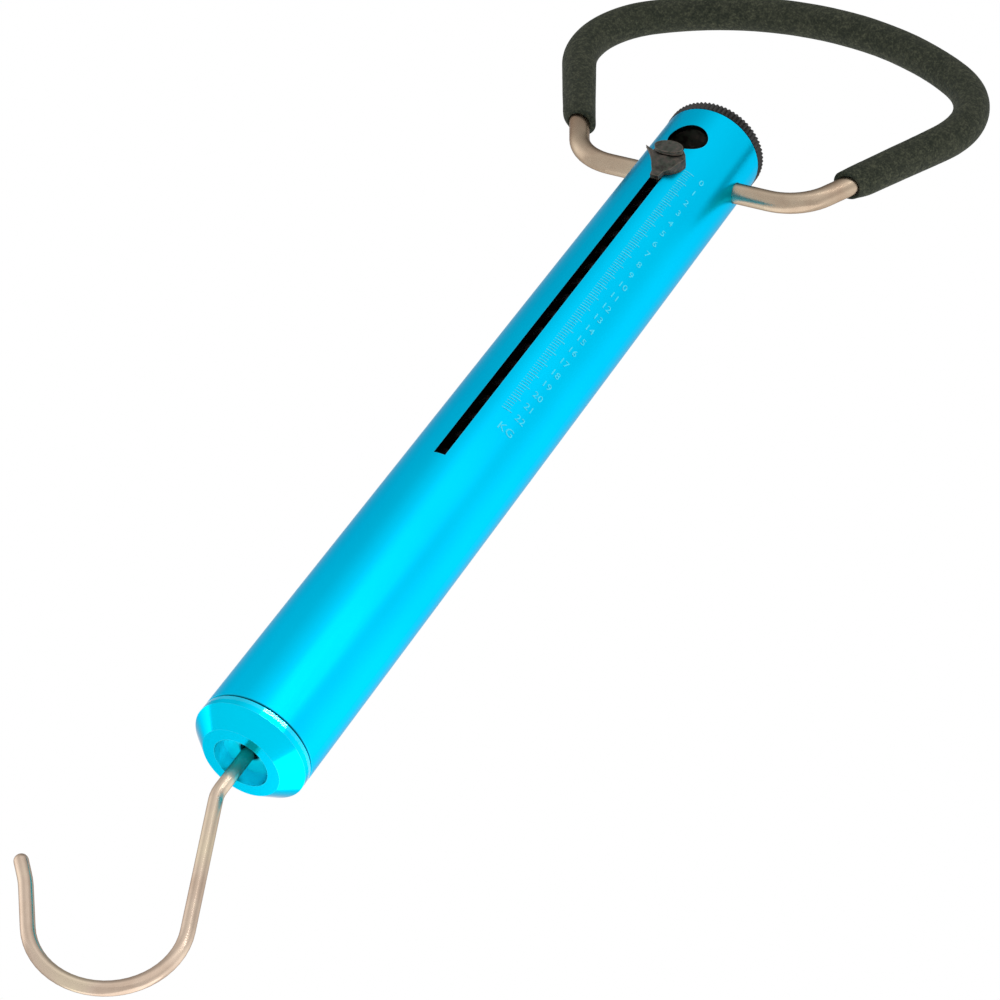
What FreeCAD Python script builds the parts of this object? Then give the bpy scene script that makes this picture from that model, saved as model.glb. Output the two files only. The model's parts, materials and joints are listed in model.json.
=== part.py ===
import FreeCAD, Part
import math
import os

# Tubular spring scale for weighing fish, millimetres.
# A wire bail with a foam grip carries a slotted aluminium barrel. A hooked rod
# hangs through the bottom cap and pulls a piston down against a compression
# spring. The piston drives a plastic marker along the slot beside the scale.
#
# Row frame: the origin is the centre of the grip, +Z is up along the hanging
# barrel, +X is along the bail's pivot axis, and the scale faces -Y.
# The barrel's pieces are drawn in barrel coordinates, where Z is the barrel's
# axis and z = 0 is the barrel's lower edge, and are then moved into the row frame.

os.makedirs("parts", exist_ok=True)
Vec = FreeCAD.Vector

# ---- clearances ----
SNUG = 0.03            # radial gap of pieces pressed or screwed together
RUNNING = 0.08         # radial gap of a turning or sliding fit
LOOSE = 0.20           # radial gap of a free sliding piece

# ---- barrel ----
BARREL_OD = 30.0
BARREL_WALL = 1.5
BARREL_LENGTH = 254.5
BARREL_EDGE = 0.25     # chamfer at both ends of the barrel
SLOT_WIDTH = 3.3
SLOT_END_Z = 93.2      # lower end of the slot
KEYHOLE_DIA = 11.6     # round mouth at the slot's upper end
KEYHOLE_DROP = 14.2    # barrel's upper edge down to the mouth's centre
ZERO_DROP = 28.0       # barrel's upper edge down to the scale's zero line

# ---- bail ----
PIVOT_DROP = 15.5      # barrel's upper edge down to the pivot axis
BAIL_DIA = 6.0
BAIL_RISE = 97.2       # pivot axis to the middle of the grip, centre to centre
BAIL_LEAN = 3.3        # degrees, the bail leans back from the barrel's axis
BAIL_FOOT_OUT = 19.8   # barrel's side to where the pivot line meets the arm's line
BAIL_FOOT_RADIUS = 16.0
BAIL_ARM_ANGLE = 27.0  # degrees, each arm opens outward
BAIL_CORNER_RADIUS = 27.0
BAIL_CROWN_RADIUS = 85.0
BAIL_END_DEPTH = 3.9   # barrel's inner wall to the inner end of each leg
RETAINER_RIM = 1.37    # width of the push-on ring around the leg
RETAINER_THICKNESS = 1.2
RETAINER_GAP = 0.2     # retainer to the barrel's inner wall

# ---- foam grip ----
GRIP_WALL = 2.27
GRIP_START = 15.5      # height of the grip's ends above the pivot axis

# ---- bottom cap ----
CAP_RIM = 2.9          # height of the cap's full-width band
CAP_CONE = 4.3         # height of the cap's tapered nose
CAP_TAPER = 4.55       # how far the nose steps in from the barrel's side
CAP_RECESS_DIA = 14.6
CAP_RECESS_DEPTH = 4.2
CAP_HOLE_GAP = 0.6     # cap's hole to the rod's thread
CAP_EDGE = 0.45        # chamfer where the cap meets the barrel
CAP_FLOOR = 2.6        # thickness of the floor between recess and bush
CAP_SPIGOT = 9.0       # length of the screwed spigot inside the barrel

# ---- rod bush and spring seats ----
BUSH_DIA = 10.0
BUSH_FLANGE = 1.5
BUSH_FLANGE_GAP = 0.85 # flange to the inside of the spring
ROD_PASSAGE_GAP = 0.07 # bush and piston bores to the rod's thread
LOWER_SEAT_THICKNESS = 1.2
LOWER_SEAT_GAP = 1.0   # lower seat to the barrel's inner wall
UPPER_SEAT_THICKNESS = 1.0
UPPER_SEAT_PROUD = 0.05  # upper seat beyond the spring's side

# ---- spring ----
SPRING_WIRE = 2.5
SPRING_TURNS = 29.0
SPRING_GAP = 0.55      # spring's side to the marker's inner plate

# ---- hooked rod ----
ROD_DIA = 3.5
ROD_THREAD_RISE = 0.23 # rolled thread above the rod's surface
ROD_THREAD_LENGTH = 4.6
HOOK_ROLL = 10.0       # degrees, the hook's plane is turned from the pivot axis
HOOK_STRAIGHT = 8.8    # straight rod below the cap's nose
HOOK_NECK_RADIUS = 9.0
HOOK_LEAN = 22.0       # degrees, the shank leans away from the rod's axis
HOOK_SHANK = 37.2
HOOK_BOWL_RADIUS = 17.8
HOOK_BOWL_ANGLE = 166.0
HOOK_ARM = 11.0
HOOK_FLARE_RADIUS = 25.0
HOOK_FLARE_ANGLE = 8.0
HOOK_TIP = 4.0

# ---- piston and rod nut ----
PISTON_HEAD = 2.6
PISTON_BOSS = 9.4
PISTON_BOSS_GAP = 0.75 # boss to the inside of the spring
NUT_FLATS = 7.0
NUT_HEIGHT = 3.2
NUT_POCKET_GAP = 0.4   # pocket to the thrust washer
NUT_POCKET_DEPTH = 5.0
THRUST_WASHER_DIA = 9.0
THRUST_WASHER_THICKNESS = 0.8

# ---- marker ----
MARKER_SEAT_GAP = 0.15 # saddle to the barrel's outside
MARKER_THICKNESS = 3.0
MARKER_LIP = 1.2       # thickness left at the foot of the sloped front
MARKER_SLOPE_TOP = 0.8 # zero line down to where the front starts to slope
MARKER_SLOPE_END = 5.0 # zero line down to the foot of the slope
MARKER_OUTLINE = [     # X, and height from the zero line
    (1.3, -8.0), (1.7, -5.3), (3.1, -4.4), (4.2, -2.9), (5.0, -1.2), (5.4, 0.9),
    (4.9, 2.2), (3.9, 3.4), (2.6, 4.7), (1.1, 5.4), (-1.1, 5.4), (-3.2, 4.5),
    (-4.4, 3.0), (-4.7, 1.2), (-4.3, -0.4), (-3.6, -2.2), (-2.7, -4.2), (-1.8, -5.6),
    (-1.3, -8.0)]
EAR_OUTLINE = [        # flat pointer that stands off the barrel on the left
    (-2.0, 3.4), (-4.8, 2.4), (-8.3, 4.1), (-5.7, 1.1), (-3.9, -1.7), (-2.0, -3.6)]
EAR_STANDOFF = 0.55    # ear to the front of the barrel
EAR_THICKNESS = 1.0
STEM_GAP = 0.15        # stem to each side of the slot
STEM_HALF_HEIGHT = 4.5
PLATE_KEYHOLE_GAP = 1.0  # plate to the edge of the mouth it goes in by
PLATE_THICKNESS = 1.9
PLATE_GAP = 0.2        # plate to the barrel's inside
DRIVE_GAP = 0.1        # piston head to the marker's plate
MARKER_SCREW_RISE = 1.5
MARKER_SCREW_DIA = 2.0
MARKER_SCREW_HEAD_DIA = 3.8
MARKER_SCREW_HEAD = 1.1
MARKER_SCREW_SINK = 0.6  # screw head below the saddle's face
PAD_WIDTH = 8.5
PAD_HEIGHT = 5.4
PAD_RISE = 1.9         # zero line to the centre of the thumb pad
PAD_THICKNESS = 1.4
PAD_GROOVE = 0.45
PAD_LIP = 0.7

# ---- zero adjuster ----
PLUG_LENGTH = 7.6
PLUG_DROP = 0.1        # plug face below the barrel's edge
ADJUSTER_DIA = 8.0
KNOB_GAP = 0.12        # knob to the barrel's edge
KNOB_THICKNESS = 3.2
KNOB_PROUD = 0.2       # knurl beyond the barrel's side
KNOB_KNURLS = 72
KNOB_KNURL_DEPTH = 0.65
KNOB_EDGE = 0.3        # chamfer of the knurled rim
KNOB_HUB_WALL = 2.47
KNOB_WEB = 0.9
KNOB_SCREW_DIA = 3.0
KNOB_SCREW_HEAD_DIA = 5.8
KNOB_SCREW_HEAD = 1.1
KNOB_SCREW_SINK = 0.1  # screw head below the knob's face
KNOB_SCREW_LENGTH = 7.8
RING_SECTION = 2.0
STOP_PAD_LAND = 1.6    # stop pad's overlap on the piston around the nut's pocket
STOP_PAD_THICKNESS = 2.8
STOP_GAP = 0.1         # stop pad to the piston at zero
STOP_PIN_DIA = 5.0
STOP_PIN_LENGTH = 1.7

# ---- derived ----
OUTER_R = BARREL_OD / 2.0
INNER_R = OUTER_R - BARREL_WALL
KEYHOLE_Z = BARREL_LENGTH - KEYHOLE_DROP
ZERO_Z = BARREL_LENGTH - ZERO_DROP
PIVOT_Z = BARREL_LENGTH - PIVOT_DROP
BAIL_FOOT_X = OUTER_R + BAIL_FOOT_OUT
BAIL_END_X = INNER_R - BAIL_END_DEPTH
RETAINER_OD = BAIL_DIA + 2 * SNUG + 2 * RETAINER_RIM
GRIP_DIA = BAIL_DIA + 2 * SNUG + 2 * GRIP_WALL
CAP_NOSE_DIA = BARREL_OD - 2 * CAP_TAPER
ROD_THREAD_DIA = ROD_DIA + 2 * ROD_THREAD_RISE
CAP_HOLE_DIA = ROD_THREAD_DIA + 2 * CAP_HOLE_GAP
ROD_PASSAGE_DIA = ROD_THREAD_DIA + 2 * ROD_PASSAGE_GAP
PLATE_DIA = KEYHOLE_DIA - 2 * PLATE_KEYHOLE_GAP
PLATE_OUT_R = INNER_R - PLATE_GAP
PLATE_IN_R = PLATE_OUT_R - PLATE_THICKNESS
SPRING_OD = 2 * (PLATE_IN_R - SPRING_GAP)
SPRING_ID = SPRING_OD - 2 * SPRING_WIRE
SPRING_MEAN_DIA = SPRING_OD - SPRING_WIRE
LOWER_SEAT_OD = 2 * (INNER_R - LOWER_SEAT_GAP)
UPPER_SEAT_OD = SPRING_OD + 2 * UPPER_SEAT_PROUD
BUSH_FLANGE_DIA = SPRING_ID - 2 * BUSH_FLANGE_GAP
PISTON_BOSS_DIA = SPRING_ID - 2 * PISTON_BOSS_GAP
NUT_POCKET_DIA = THRUST_WASHER_DIA + 2 * NUT_POCKET_GAP
STOP_PAD_DIA = NUT_POCKET_DIA + 2 * STOP_PAD_LAND
KNOB_DIA = BARREL_OD + 2 * KNOB_PROUD
KNOB_HUB_DIA = ADJUSTER_DIA + 2 * SNUG + 2 * KNOB_HUB_WALL
RING_POCKET = RING_SECTION  # depth of the plug's pocket for the ring and the hub
LEAN = math.radians(BAIL_LEAN)
PIVOT = Vec(0.0, -BAIL_RISE * math.sin(LEAN), -BAIL_RISE * math.cos(LEAN))
BARREL_SHIFT = Vec(0.0, PIVOT.y, PIVOT.z - PIVOT_Z)
CAP_NOSE_Z = -(CAP_RIM + CAP_CONE)
HOOK_STRAIGHT_Z = CAP_NOSE_Z - HOOK_STRAIGHT
BUSH_FOOT_Z = CAP_NOSE_Z + CAP_RECESS_DEPTH + CAP_FLOOR
LOWER_SEAT_TOP = CAP_SPIGOT + LOWER_SEAT_THICKNESS
HEAD_Z = ZERO_Z + PLATE_DIA / 2.0 + DRIVE_GAP
HEAD_TOP = HEAD_Z + PISTON_HEAD
UPPER_SEAT_Z = HEAD_Z - UPPER_SEAT_THICKNESS
POCKET_Z = HEAD_TOP - NUT_POCKET_DEPTH
PLUG_TOP = BARREL_LENGTH - PLUG_DROP
KNOB_Z = BARREL_LENGTH + KNOB_GAP
KNOB_TOP = KNOB_Z + KNOB_THICKNESS
KNOB_SCREW_SEAT = KNOB_TOP - KNOB_SCREW_HEAD - KNOB_SCREW_SINK


def save(shape, name, shift=BARREL_SHIFT):
    """Move a finished piece into the row frame and write it."""
    done = shape.copy()
    done.translate(shift)
    solids = done.Solids
    if len(solids) == 1:
        done = solids[0]
    done.exportStep("parts/" + name + ".step")


def rod_z(dia, z0, z1):
    """Solid cylinder on the barrel's axis between two heights."""
    return Part.makeCylinder(dia / 2.0, z1 - z0, Vec(0, 0, z0))


def ring_z(outer_dia, inner_dia, z0, z1):
    """Flat ring on the barrel's axis between two heights."""
    margin = 1.0
    hole = rod_z(inner_dia, z0 - margin, z1 + margin)
    return rod_z(outer_dia, z0, z1).cut(hole)


def turned(points):
    """Solid turned about the Z axis from (radius, height) points."""
    corners = [Vec(r, 0, z) for r, z in points]
    corners.append(corners[0])
    face = Part.Face(Part.makePolygon(corners))
    return face.revolve(Vec(0, 0, 0), Vec(0, 0, 1), 360)


def front_pin(dia, y0, y1, z):
    """Cylinder along -Y, from depth y0 to depth y1 in front of the axis."""
    return Part.makeCylinder(dia / 2.0, y1 - y0, Vec(0, -y0, z), Vec(0, -1, 0))


def prism_y(points, y0, y1):
    """Prism of an outline in X and Z, from depth y0 to depth y1 in front."""
    corners = [Vec(x, -y0, z) for x, z in points]
    corners.append(corners[0])
    face = Part.Face(Part.makePolygon(corners))
    return face.extrude(Vec(0, -(y1 - y0), 0))


def oval_y(width, height, z, y0, y1):
    """Oval prism facing the front, from depth y0 to depth y1."""
    curve = Part.Ellipse(Vec(0, -y0, z), width / 2.0, height / 2.0)
    curve.Axis = Vec(0, -1, 0)
    curve.XAxis = Vec(1, 0, 0)
    face = Part.Face(Part.Wire(curve.toShape()))
    return face.extrude(Vec(0, -(y1 - y0), 0))


def bend(start, heading, moves, place):
    """Centreline of a bent wire in its own plane, as a wire of lines and arcs.

    A move is (length,) for a straight run, or (radius, angle) for a bend, where a
    positive angle in degrees turns left. place() puts a plane point in space."""
    x, y = start
    a = math.radians(heading)
    edges = []
    for move in moves:
        if len(move) == 1:
            nx = x + move[0] * math.cos(a)
            ny = y + move[0] * math.sin(a)
            edges.append(Part.makeLine(place(x, y), place(nx, ny)))
        else:
            radius, turn = move[0], math.radians(move[1])
            side = math.copysign(1.0, turn)
            cx = x - side * radius * math.sin(a)
            cy = y + side * radius * math.cos(a)
            half = a + turn / 2.0
            mx = cx + side * radius * math.sin(half)
            my = cy - side * radius * math.cos(half)
            a = a + turn
            nx = cx + side * radius * math.sin(a)
            ny = cy - side * radius * math.cos(a)
            edges.append(Part.Arc(place(x, y), place(mx, my), place(nx, ny)).toShape())
        x, y = nx, ny
    return Part.Wire(edges), (x, y)


def sweep(path, dia):
    """Round rod along a smooth path."""
    first = path.Edges[0]
    begin = first.valueAt(first.FirstParameter)
    heading = first.tangentAt(first.FirstParameter)
    section = Part.Wire(Part.makeCircle(dia / 2.0, begin, heading))
    return path.makePipeShell([section], True, True)


# ---- barrel tube ----
def make_barrel():
    c = BARREL_EDGE
    tube = turned([
        (INNER_R, 0.0), (OUTER_R - c, 0.0), (OUTER_R, c),
        (OUTER_R, BARREL_LENGTH - c), (OUTER_R - c, BARREL_LENGTH),
        (INNER_R, BARREL_LENGTH)])
    reach = OUTER_R + 1.0
    half = SLOT_WIDTH / 2.0
    slot = Part.makeBox(SLOT_WIDTH, reach, KEYHOLE_Z - SLOT_END_Z, Vec(-half, -reach, SLOT_END_Z))
    mouth = front_pin(KEYHOLE_DIA, 0.0, reach, KEYHOLE_Z)
    pivot = Part.makeCylinder(
        BAIL_DIA / 2.0 + RUNNING, 2 * reach, Vec(-reach, 0, PIVOT_Z), Vec(1, 0, 0))
    return tube.cut(slot).cut(mouth).cut(pivot)


# ---- bottom cap with its recess, and the bush that guides the rod ----
def make_bottom_cap():
    recess_z = CAP_NOSE_Z + CAP_RECESS_DEPTH
    nose_r = CAP_NOSE_DIA / 2.0
    c = CAP_EDGE
    return turned([
        (CAP_HOLE_DIA / 2.0, recess_z), (CAP_RECESS_DIA / 2.0, recess_z),
        (CAP_RECESS_DIA / 2.0, CAP_NOSE_Z), (nose_r, CAP_NOSE_Z),
        (OUTER_R, -CAP_RIM), (OUTER_R, -c), (OUTER_R - c, 0.0),
        (INNER_R - SNUG, 0.0), (INNER_R - SNUG, CAP_SPIGOT),
        (BUSH_DIA / 2.0 + SNUG, CAP_SPIGOT), (BUSH_DIA / 2.0 + SNUG, BUSH_FOOT_Z),
        (CAP_HOLE_DIA / 2.0, BUSH_FOOT_Z)])


def make_rod_bush():
    bore = ROD_PASSAGE_DIA / 2.0
    top = CAP_SPIGOT + BUSH_FLANGE
    return turned([
        (bore, BUSH_FOOT_Z), (BUSH_DIA / 2.0, BUSH_FOOT_Z), (BUSH_DIA / 2.0, CAP_SPIGOT),
        (BUSH_FLANGE_DIA / 2.0, CAP_SPIGOT), (BUSH_FLANGE_DIA / 2.0, top), (bore, top)])


def make_lower_seat():
    hole = BUSH_FLANGE_DIA + 2 * SNUG
    return ring_z(LOWER_SEAT_OD, hole, CAP_SPIGOT, LOWER_SEAT_TOP)


# ---- compression spring, its ends ground flat ----
def make_spring():
    length = UPPER_SEAT_Z - LOWER_SEAT_TOP
    radius = SPRING_MEAN_DIA / 2.0
    helix = Part.makeHelix(length / SPRING_TURNS, length, radius)
    start = helix.Edges[0]
    begin = start.valueAt(start.FirstParameter)
    heading = start.tangentAt(start.FirstParameter)
    section = Part.Wire(Part.makeCircle(SPRING_WIRE / 2.0, begin, heading))
    coil = Part.Wire(helix.Edges).makePipeShell([section], True, True)
    margin = SPRING_WIRE
    keep = ring_z(
        SPRING_MEAN_DIA + 2 * SPRING_WIRE + margin,
        SPRING_MEAN_DIA - 2 * SPRING_WIRE - margin, 0.0, length)
    coil = coil.common(keep)
    coil.translate(Vec(0, 0, LOWER_SEAT_TOP))
    return coil


def make_upper_seat():
    hole = PISTON_BOSS_DIA + 2 * LOOSE
    return ring_z(UPPER_SEAT_OD, hole, UPPER_SEAT_Z, HEAD_Z)


# ---- piston, with a pocket for the rod's nut ----
def make_piston():
    head_r = INNER_R - LOOSE
    boss_r = PISTON_BOSS_DIA / 2.0
    bore = ROD_PASSAGE_DIA / 2.0
    pocket = NUT_POCKET_DIA / 2.0
    foot = HEAD_Z - PISTON_BOSS
    return turned([
        (bore, foot), (boss_r, foot), (boss_r, HEAD_Z), (head_r, HEAD_Z),
        (head_r, HEAD_TOP), (pocket, HEAD_TOP), (pocket, POCKET_Z), (bore, POCKET_Z)])


def make_thrust_washer():
    return ring_z(THRUST_WASHER_DIA, ROD_PASSAGE_DIA, POCKET_Z, POCKET_Z + THRUST_WASHER_THICKNESS)


def make_rod_nut():
    z0 = POCKET_Z + THRUST_WASHER_THICKNESS
    corner = NUT_FLATS / math.sqrt(3.0)
    points = []
    for i in range(7):
        a = math.radians(60.0 * i)
        points.append(Vec(corner * math.cos(a), corner * math.sin(a), z0))
    nut = Part.Face(Part.makePolygon(points)).extrude(Vec(0, 0, NUT_HEIGHT))
    return nut.cut(rod_z(ROD_THREAD_DIA + 2 * SNUG, z0 - 1.0, z0 + NUT_HEIGHT + 1.0))


# ---- rod and hook, bent from one wire ----
def place_hook(s, z):
    """Point of the hook's plane: s across the plane, z along the rod's axis."""
    roll = math.radians(HOOK_ROLL)
    return Vec(s * math.cos(roll), s * math.sin(roll), z)


def make_hook_rod():
    nut_z = POCKET_Z + THRUST_WASHER_THICKNESS
    thread_z = nut_z - THRUST_WASHER_THICKNESS
    top = thread_z + ROD_THREAD_LENGTH
    moves = [
        (top - HOOK_STRAIGHT_Z,), (HOOK_NECK_RADIUS, HOOK_LEAN), (HOOK_SHANK,),
        (HOOK_BOWL_RADIUS, -HOOK_BOWL_ANGLE), (HOOK_ARM,),
        (HOOK_FLARE_RADIUS, HOOK_FLARE_ANGLE), (HOOK_TIP,)]
    path, tip = bend((0.0, top), -90.0, moves, place_hook)
    wire = sweep(path, ROD_DIA)
    point = Part.makeSphere(ROD_DIA / 2.0, place_hook(tip[0], tip[1]))
    thread = rod_z(ROD_THREAD_DIA, thread_z, top)
    return wire.fuse(point).fuse(thread).removeSplitter()


# ---- marker: saddle and stem, thumb pad, screw and inner plate ----
def on_marker(points):
    """Marker outline points set at the height of the zero line."""
    return [(x, ZERO_Z + z) for x, z in points]


SCREW_Z = ZERO_Z + MARKER_SCREW_RISE
SADDLE_IN_R = OUTER_R + MARKER_SEAT_GAP
SADDLE_OUT_R = SADDLE_IN_R + MARKER_THICKNESS
SCREW_SEAT = SADDLE_OUT_R - MARKER_SCREW_HEAD - MARKER_SCREW_SINK


def between_radii(shape, inner_r, outer_r):
    """Part of a shape between two radii about the barrel's axis."""
    ring = ring_z(2 * outer_r, 2 * inner_r, 0.0, BARREL_LENGTH)
    return shape.common(ring)


def marker_slope():
    """Wedge that is cut from the marker's front, from the thumb pad down."""
    top = ZERO_Z - MARKER_SLOPE_TOP
    end = ZERO_Z - MARKER_SLOPE_END
    foot = ZERO_Z + MARKER_OUTLINE[0][1] - 1.0
    lip = SADDLE_IN_R + MARKER_LIP
    clear = SADDLE_OUT_R + 2.0
    side = OUTER_R
    outline = [(SADDLE_OUT_R, top), (lip, end), (lip, foot), (clear, foot), (clear, top)]
    corners = [Vec(-side, -r, z) for r, z in outline]
    corners.append(corners[0])
    face = Part.Face(Part.makePolygon(corners))
    return face.extrude(Vec(2 * side, 0, 0))


def make_marker_saddle():
    deep = PLATE_OUT_R - 1.0
    plan = prism_y(on_marker(MARKER_OUTLINE), deep, SADDLE_OUT_R + 1.0)
    saddle = between_radii(plan, SADDLE_IN_R, SADDLE_OUT_R).cut(marker_slope())
    ear_foot = OUTER_R + EAR_STANDOFF
    ear = prism_y(on_marker(EAR_OUTLINE), ear_foot, ear_foot + EAR_THICKNESS)
    half = SLOT_WIDTH / 2.0 - STEM_GAP
    low = ZERO_Z - STEM_HALF_HEIGHT
    stem = Part.makeBox(2 * half, 8.0, 2 * STEM_HALF_HEIGHT, Vec(-half, -deep - 8.0, low))
    stem = between_radii(stem, PLATE_OUT_R + SNUG, SADDLE_IN_R + 0.5)
    body = saddle.fuse(ear).fuse(stem).removeSplitter()
    bore = front_pin(MARKER_SCREW_DIA + 2 * SNUG, deep - 1.0, SADDLE_OUT_R + 2.0, SCREW_Z)
    head = front_pin(MARKER_SCREW_HEAD_DIA + 2 * LOOSE, SCREW_SEAT, SADDLE_OUT_R + 2.0, SCREW_Z)
    return body.cut(bore).cut(head)


def make_marker_plate():
    disc = front_pin(PLATE_DIA, PLATE_IN_R - 3.0, PLATE_OUT_R + 1.0, ZERO_Z)
    plate = between_radii(disc, PLATE_IN_R, PLATE_OUT_R)
    bore = front_pin(MARKER_SCREW_DIA + 2 * SNUG, PLATE_IN_R - 3.0, PLATE_OUT_R + 1.0, SCREW_Z)
    return plate.cut(bore)


def make_marker_screw():
    shank = front_pin(MARKER_SCREW_DIA, PLATE_IN_R + 0.1, SCREW_SEAT + 0.2, SCREW_Z)
    head = front_pin(MARKER_SCREW_HEAD_DIA, SCREW_SEAT, SCREW_SEAT + MARKER_SCREW_HEAD, SCREW_Z)
    return shank.fuse(head).removeSplitter()


def make_marker_pad():
    """Thumb pad: a snap plug in the screw's pocket, a neck, and an overhanging oval."""
    z = ZERO_Z + PAD_RISE
    face = SADDLE_OUT_R + PAD_THICKNESS
    top = oval_y(PAD_WIDTH, PAD_HEIGHT, z, SADDLE_OUT_R - 2.0, face)
    top = top.cut(rod_z(2 * (SADDLE_OUT_R + PAD_GROOVE), 0.0, BARREL_LENGTH))
    neck = oval_y(PAD_WIDTH - 2 * PAD_LIP, PAD_HEIGHT - 2 * PAD_LIP, z, SADDLE_OUT_R - 2.0, face - 0.3)
    neck = neck.cut(rod_z(2 * (SADDLE_OUT_R + 0.02), 0.0, BARREL_LENGTH))
    plug_start = SCREW_SEAT + MARKER_SCREW_HEAD + 0.05
    plug = front_pin(MARKER_SCREW_HEAD_DIA + 2 * SNUG, plug_start, face - 0.3, SCREW_Z)
    return top.fuse(neck).fuse(plug).removeSplitter()


# ---- top plug and zero adjuster ----
def make_top_plug():
    bottom = PLUG_TOP - PLUG_LENGTH
    pocket_z = PLUG_TOP - RING_POCKET
    pocket_r = KNOB_HUB_DIA / 2.0 + RING_SECTION + 2 * SNUG
    bore = ADJUSTER_DIA / 2.0 + SNUG
    return turned([
        (bore, bottom), (INNER_R - SNUG, bottom), (INNER_R - SNUG, PLUG_TOP),
        (pocket_r, PLUG_TOP), (pocket_r, pocket_z), (bore, pocket_z)])


def knurled_disc(z0, z1):
    """Disc with a fine V knurl around its rim."""
    tip = KNOB_DIA / 2.0
    root = tip - KNOB_KNURL_DEPTH
    points = []
    for i in range(2 * KNOB_KNURLS):
        a = math.pi * i / KNOB_KNURLS
        r = tip if i % 2 == 0 else root
        points.append(Vec(r * math.cos(a), r * math.sin(a), z0))
    points.append(points[0])
    prism = Part.Face(Part.makePolygon(points)).extrude(Vec(0, 0, z1 - z0))
    c = KNOB_EDGE
    clear = tip + 0.1
    edge = turned([
        (0.0, z0), (clear - c, z0), (clear, z0 + c), (clear, z1 - c),
        (clear - c, z1), (0.0, z1)])
    return prism.common(edge)


def make_knob():
    seat = KNOB_SCREW_SEAT
    disc = knurled_disc(KNOB_Z, KNOB_TOP)
    hub = rod_z(KNOB_HUB_DIA, KNOB_Z - RING_POCKET + 0.1, KNOB_Z + 0.5)
    body = disc.fuse(hub)
    socket = rod_z(ADJUSTER_DIA + 2 * SNUG, KNOB_Z - RING_POCKET - 1.0, seat - KNOB_WEB)
    hole = rod_z(KNOB_SCREW_DIA + 2 * LOOSE, KNOB_Z - 1.0, KNOB_TOP + 1.0)
    pocket = rod_z(KNOB_SCREW_HEAD_DIA + 2 * LOOSE, seat, KNOB_TOP + 1.0)
    return body.cut(socket).cut(hole).cut(pocket)


def make_knob_screw():
    seat = KNOB_SCREW_SEAT
    head = rod_z(KNOB_SCREW_HEAD_DIA, seat, seat + KNOB_SCREW_HEAD)
    shank = rod_z(KNOB_SCREW_DIA, seat - KNOB_SCREW_LENGTH, seat + 0.2)
    drive = Part.makeBox(KNOB_SCREW_HEAD_DIA, 0.9, 0.6, Vec(
        -KNOB_SCREW_HEAD_DIA / 2.0, -0.45, seat + KNOB_SCREW_HEAD - 0.6))
    cross = drive.copy()
    cross.rotate(Vec(0, 0, 0), Vec(0, 0, 1), 90)
    reach = rod_z(KNOB_SCREW_HEAD_DIA * 0.62, seat, seat + KNOB_SCREW_HEAD + 1.0)
    recess = drive.fuse(cross).common(reach)
    return head.fuse(shank).cut(recess).removeSplitter()


def make_adjuster_screw():
    seat = KNOB_SCREW_SEAT
    top = seat - KNOB_WEB
    pad_top = HEAD_TOP + STOP_GAP + STOP_PAD_THICKNESS
    stud = rod_z(ADJUSTER_DIA, pad_top, top)
    pin = rod_z(STOP_PIN_DIA, pad_top - STOP_PIN_LENGTH, pad_top + 0.5)
    bore = rod_z(KNOB_SCREW_DIA + 2 * SNUG, seat - KNOB_SCREW_LENGTH - 0.5, top + 1.0)
    return stud.fuse(pin).removeSplitter().cut(bore)


def make_stop_pad():
    z0 = HEAD_TOP + STOP_GAP
    pad = rod_z(STOP_PAD_DIA, z0, z0 + STOP_PAD_THICKNESS)
    socket_z = z0 + STOP_PAD_THICKNESS - STOP_PIN_LENGTH - 0.02
    socket = rod_z(STOP_PIN_DIA + 2 * SNUG, socket_z, z0 + STOP_PAD_THICKNESS + 1.0)
    return pad.cut(socket)


def make_friction_ring():
    middle = KNOB_HUB_DIA / 2.0 + RING_SECTION / 2.0 + SNUG
    height = PLUG_TOP - RING_POCKET + RING_SECTION / 2.0 + SNUG
    return Part.makeTorus(middle, RING_SECTION / 2.0, Vec(0, 0, height))


# ---- bail, its retainers and the foam grip ----
def place_bail(x, v):
    """Point of the bail's plane: x along the pivot axis, v up the bail."""
    return Vec(x, PIVOT.y + v * math.sin(LEAN), PIVOT.z + v * math.cos(LEAN))


def bail_sizes():
    """Crown half angle, arm length and where each foot bend starts.

    The crown, a corner and an arm are tangent in turn, and the arm's line meets
    the pivot line at BAIL_FOOT_X."""
    g = math.radians(BAIL_ARM_ANGLE)
    turn = math.pi / 2.0 + g
    foot = BAIL_FOOT_RADIUS
    corner = BAIL_CORNER_RADIUS
    reach = BAIL_CROWN_RADIUS - corner
    foot_x = BAIL_FOOT_X - foot * math.tan((math.pi / 2.0 - g) / 2.0)
    drop = foot * (1.0 + math.cos(turn))
    base = BAIL_RISE - BAIL_CROWN_RADIUS + corner * math.cos(turn)
    k = foot_x + foot * math.sin(turn) - corner * math.sin(turn)
    k = k + math.tan(g) * (base - drop)
    crown = g + math.asin(k * math.cos(g) / reach)
    shoulder_v = base + reach * math.cos(crown)
    arm = (shoulder_v - drop) / math.cos(g)
    return crown, arm, foot_x, shoulder_v


def make_bail():
    crown, arm, foot_x, shoulder_v = bail_sizes()
    foot_turn = 90.0 - BAIL_ARM_ANGLE
    corner_turn = 90.0 + BAIL_ARM_ANGLE - math.degrees(crown)
    leg = (foot_x - BAIL_END_X,)
    foot = (BAIL_FOOT_RADIUS, -foot_turn)
    corner = (BAIL_CORNER_RADIUS, -corner_turn)
    top = (BAIL_CROWN_RADIUS, -2.0 * math.degrees(crown))
    moves = [leg, foot, (arm,), corner, top, corner, (arm,), foot, leg]
    path, end = bend((-BAIL_END_X, 0.0), 180.0, moves, place_bail)
    return sweep(path, BAIL_DIA)


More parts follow.
